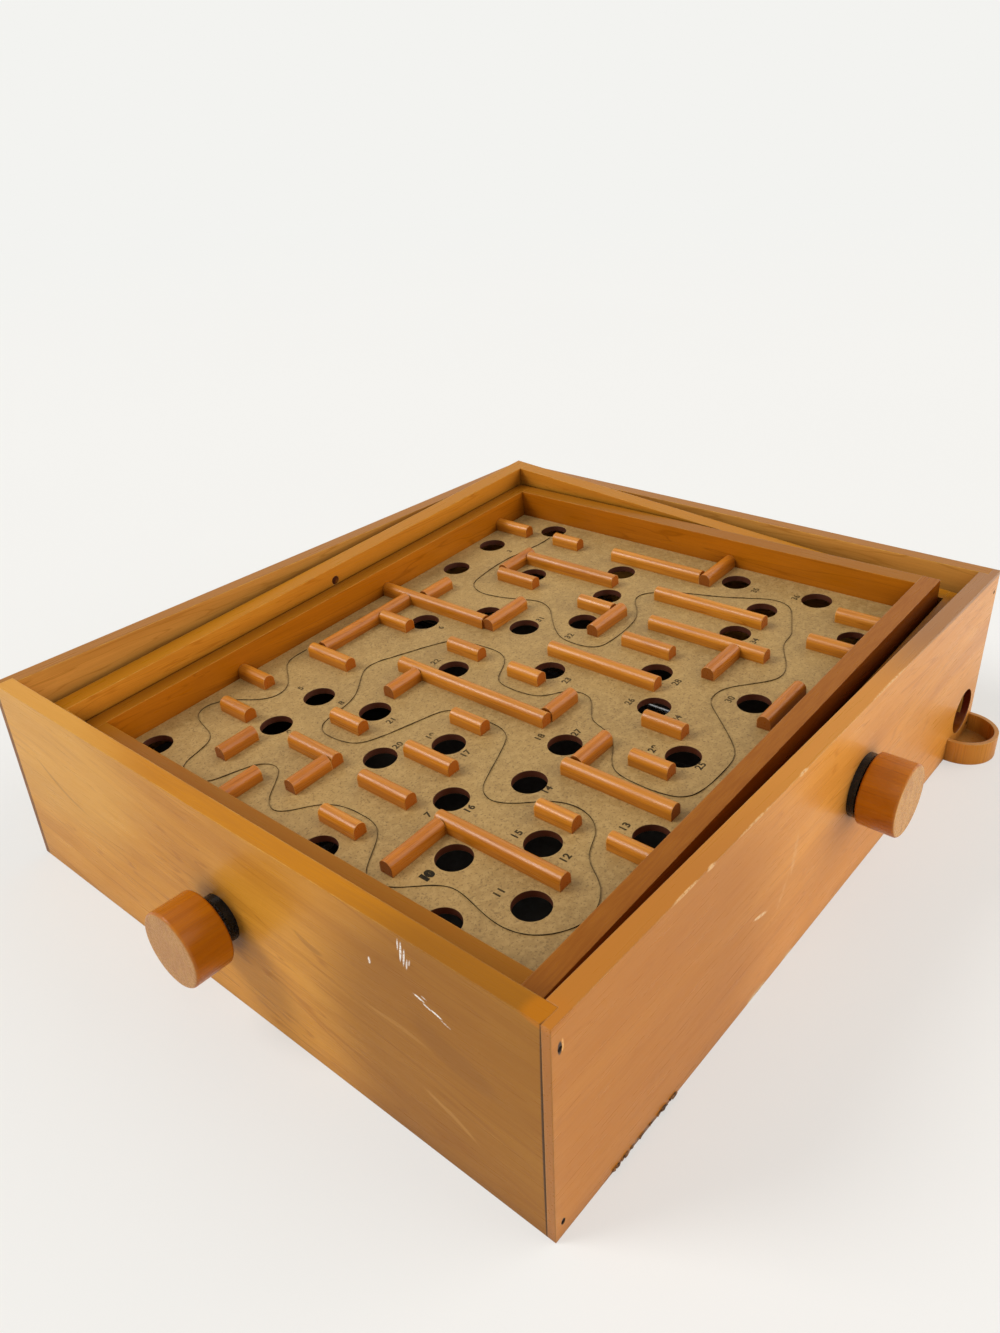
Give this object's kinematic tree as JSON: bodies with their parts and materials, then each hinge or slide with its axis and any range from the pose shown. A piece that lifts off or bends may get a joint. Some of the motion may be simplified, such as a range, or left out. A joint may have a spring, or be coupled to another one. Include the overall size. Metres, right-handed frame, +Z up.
{
  "type": "tilting labyrinth game",
  "caption": "Wooden tilt maze game: a holed maze board on crossed pivots inside an open box, tipped by two side knobs on cord-wound shafts, with a ball ramp and catch cup.",
  "frame": {"origin": "centre of the underside of the box, on the table", "axes": "+X to the right along the front panel (the longest side), +Y to the back, +Z up"},
  "size_m": [0.351, 0.3005, 0.0922],
  "materials": {
    "box_wood": "clear satin lacquer over pale hardwood",
    "rail_wood": "amber lacquer over pale hardwood",
    "strip_wood": "orange brown lacquer",
    "knob_wood": "red brown lacquer, paler end grain",
    "cup_wood": "amber lacquer",
    "hardboard": "plain pressed fibre board with a smooth face",
    "black_rubber": "matt black",
    "steel": "bright drawn steel",
    "cord": "waxed black cord"
  },
  "bodies": {
    "box": {"front_panel": "box_wood", "back_panel": "box_wood", "left_panel": "box_wood", "right_panel": "box_wood", "base_board": "hardboard", "ball_ramp": "hardboard", "ramp_cleats": "rail_wood", "catch_cup": "cup_wood", "box_brads": "steel", "left_washer": "black_rubber", "front_washer": "black_rubber"},
    "tilt_ring": {"ring_front_rail": "rail_wood", "ring_back_rail": "rail_wood", "ring_left_rail": "rail_wood", "ring_right_rail": "rail_wood", "ring_pivot_pins": "rail_wood", "ring_cord_eyes": "steel", "ring_cord_spring": "steel", "ring_cord": "cord"},
    "board_frame": {"frame_front_rail": "rail_wood", "frame_back_rail": "rail_wood", "frame_left_rail": "rail_wood", "frame_right_rail": "rail_wood", "maze_board": "hardboard", "maze_strips_along": "strip_wood", "maze_strips_across": "strip_wood", "frame_pivot_pins": "rail_wood", "frame_cord_eyes": "steel", "frame_cord_spring": "steel", "frame_cord": "cord"},
    "left_knob_shaft": {"left_knob": "knob_wood", "left_shaft": "steel", "left_shaft_clip": "steel", "left_cord_winding": "cord"},
    "front_knob_shaft": {"front_knob": "knob_wood", "front_shaft": "steel", "front_shaft_clip": "steel", "front_cord_winding": "cord"}
  },
  "joints": [
    {"name": "ring_tilt", "type": "hinge", "parent": "box", "child": "tilt_ring", "pos_m": [-0.001, -0.0008, 0.066], "axis": [0, 0.9979, 0.0649], "range_deg": [-0.6, 8.4], "deforming": ["ring_cord"]},
    {"name": "frame_tilt", "type": "hinge", "parent": "tilt_ring", "child": "board_frame", "pos_m": [-0.001, -0.0008, 0.066], "axis": [0.9977, -0.0044, 0.0679], "range_deg": [-1.2, 2.7], "deforming": ["frame_cord"]},
    {"name": "front_knob_spin", "type": "hinge", "parent": "box", "child": "front_knob_shaft", "pos_m": [0.026, -0.1595, 0.048], "axis": [0, -1, 0], "range_deg": [-5, 64]},
    {"name": "left_knob_spin", "type": "hinge", "parent": "box", "child": "left_knob_shaft", "pos_m": [-0.186, 0.002, 0.0408], "axis": [-1, 0, 0], "range_deg": [-35, 16]}
  ],
  "couplings": [
    {"joint": "front_knob_spin", "follows": "ring_tilt", "ratio": 7.6},
    {"joint": "left_knob_spin", "follows": "frame_tilt", "ratio": -12.6}
  ]
}
